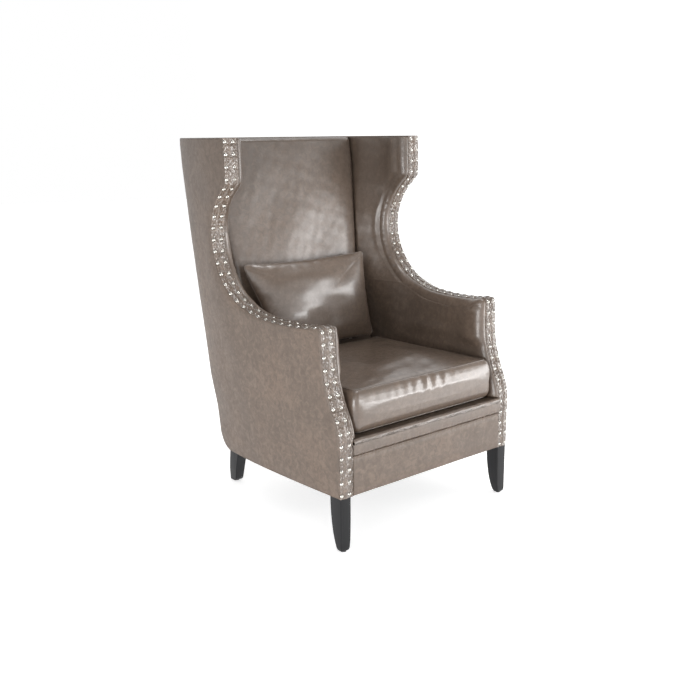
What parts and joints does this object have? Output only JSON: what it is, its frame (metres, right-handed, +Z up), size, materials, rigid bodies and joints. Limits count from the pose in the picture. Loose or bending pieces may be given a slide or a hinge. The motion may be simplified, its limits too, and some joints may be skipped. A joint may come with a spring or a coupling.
{
  "type": "wing chair",
  "caption": "Tall upholstered wing chair with scooped sides, studded leather facing bands, a loose seat cushion, a loose lumbar pillow and dark tapered legs.",
  "frame": {"origin": "on the floor, under the middle of the bounding box", "axes": "+Z up, the chair faces -Y, +X is to the right of a person looking at its front; left and right in node names are as seen from the front"},
  "size_m": [0.7736, 0.8374, 1.143],
  "materials": {
    "leather_outside": "matte grey-brown leather with mottling",
    "leather_inside": "smooth grey-brown leather with a soft gloss",
    "frame_wood": "plain sawn hardwood",
    "leg_wood": "near-black stain, satin",
    "stud_nickel": "domed bright nickel",
    "zinc_steel": "zinc plated",
    "spring_steel": "oiled spring wire",
    "foam": "open-cell foam",
    "webbing": "woven elastic strap",
    "dust_cloth": "black non-woven cloth",
    "zip_tape": "woven tape",
    "zip_metal": "antique nickel",
    "glide_plastic": "hard moulded plastic"
  },
  "bodies": {
    "chair": {"front_seat_rail": "frame_wood", "back_seat_rail": "frame_wood", "side_seat_rail_left": "frame_wood", "side_seat_rail_right": "frame_wood", "corner_blocks": "frame_wood", "block_screws": "zinc_steel", "arm_post_left": "frame_wood", "arm_post_right": "frame_wood", "arm_rail_left": "frame_wood", "arm_rail_right": "frame_wood", "wing_rail_left": "frame_wood", "wing_rail_right": "frame_wood", "wing_top_ties": "frame_wood", "wing_lower_ties": "frame_wood", "back_post_left": "frame_wood", "back_post_right": "frame_wood", "top_rail": "frame_wood", "lumbar_rail": "frame_wood", "seat_springs": "spring_steel", "spring_clips": "zinc_steel", "seat_deck_pad": "foam", "back_webbing": "webbing", "inside_back_pad": "leather_inside", "inside_side_pad_left": "leather_inside", "inside_side_pad_right": "leather_inside", "outside_side_cover_left": "leather_outside", "outside_side_cover_right": "leather_outside", "outside_back_cover": "leather_outside", "facing_band_left": "leather_outside", "facing_band_right": "leather_outside", "studs_left": "stud_nickel", "studs_right": "stud_nickel", "front_border_roll": "leather_inside", "front_apron": "leather_outside", "top_cover": "leather_outside", "dust_cover": "dust_cloth", "front_leg_left": "leg_wood", "front_leg_right": "leg_wood", "rear_leg_left": "leg_wood", "rear_leg_right": "leg_wood", "leg_bolts": "zinc_steel", "tee_nuts": "zinc_steel", "glides": "glide_plastic"},
    "seat_cushion": {"seat_cushion_cover": "leather_inside", "seat_cushion_core": "foam", "seat_zip": "zip_tape"},
    "lumbar_pillow": {"pillow_cover": "leather_inside", "pillow_fill": "foam", "pillow_zip": "zip_tape"},
    "seat_zip_pull": {"seat_zip_slider": "zip_metal"},
    "pillow_zip_pull": {"pillow_zip_slider": "zip_metal"}
  },
  "joints": [
    {"name": "seat_cushion_out", "type": "slide", "parent": "chair", "child": "seat_cushion", "axis": [0, -0.9996, 0.03], "range_m": [0, 0.6]},
    {"name": "lumbar_pillow_out", "type": "slide", "parent": "chair", "child": "lumbar_pillow", "axis": [0, 0.181, 0.9835], "range_m": [0, 0.7]},
    {"name": "seat_zip_run", "type": "slide", "parent": "seat_cushion", "child": "seat_zip_pull", "axis": [1, 0, 0], "range_m": [0, 0.43]},
    {"name": "pillow_zip_run", "type": "slide", "parent": "lumbar_pillow", "child": "pillow_zip_pull", "axis": [-1, 0, 0], "range_m": [0, 0.3]}
  ]
}
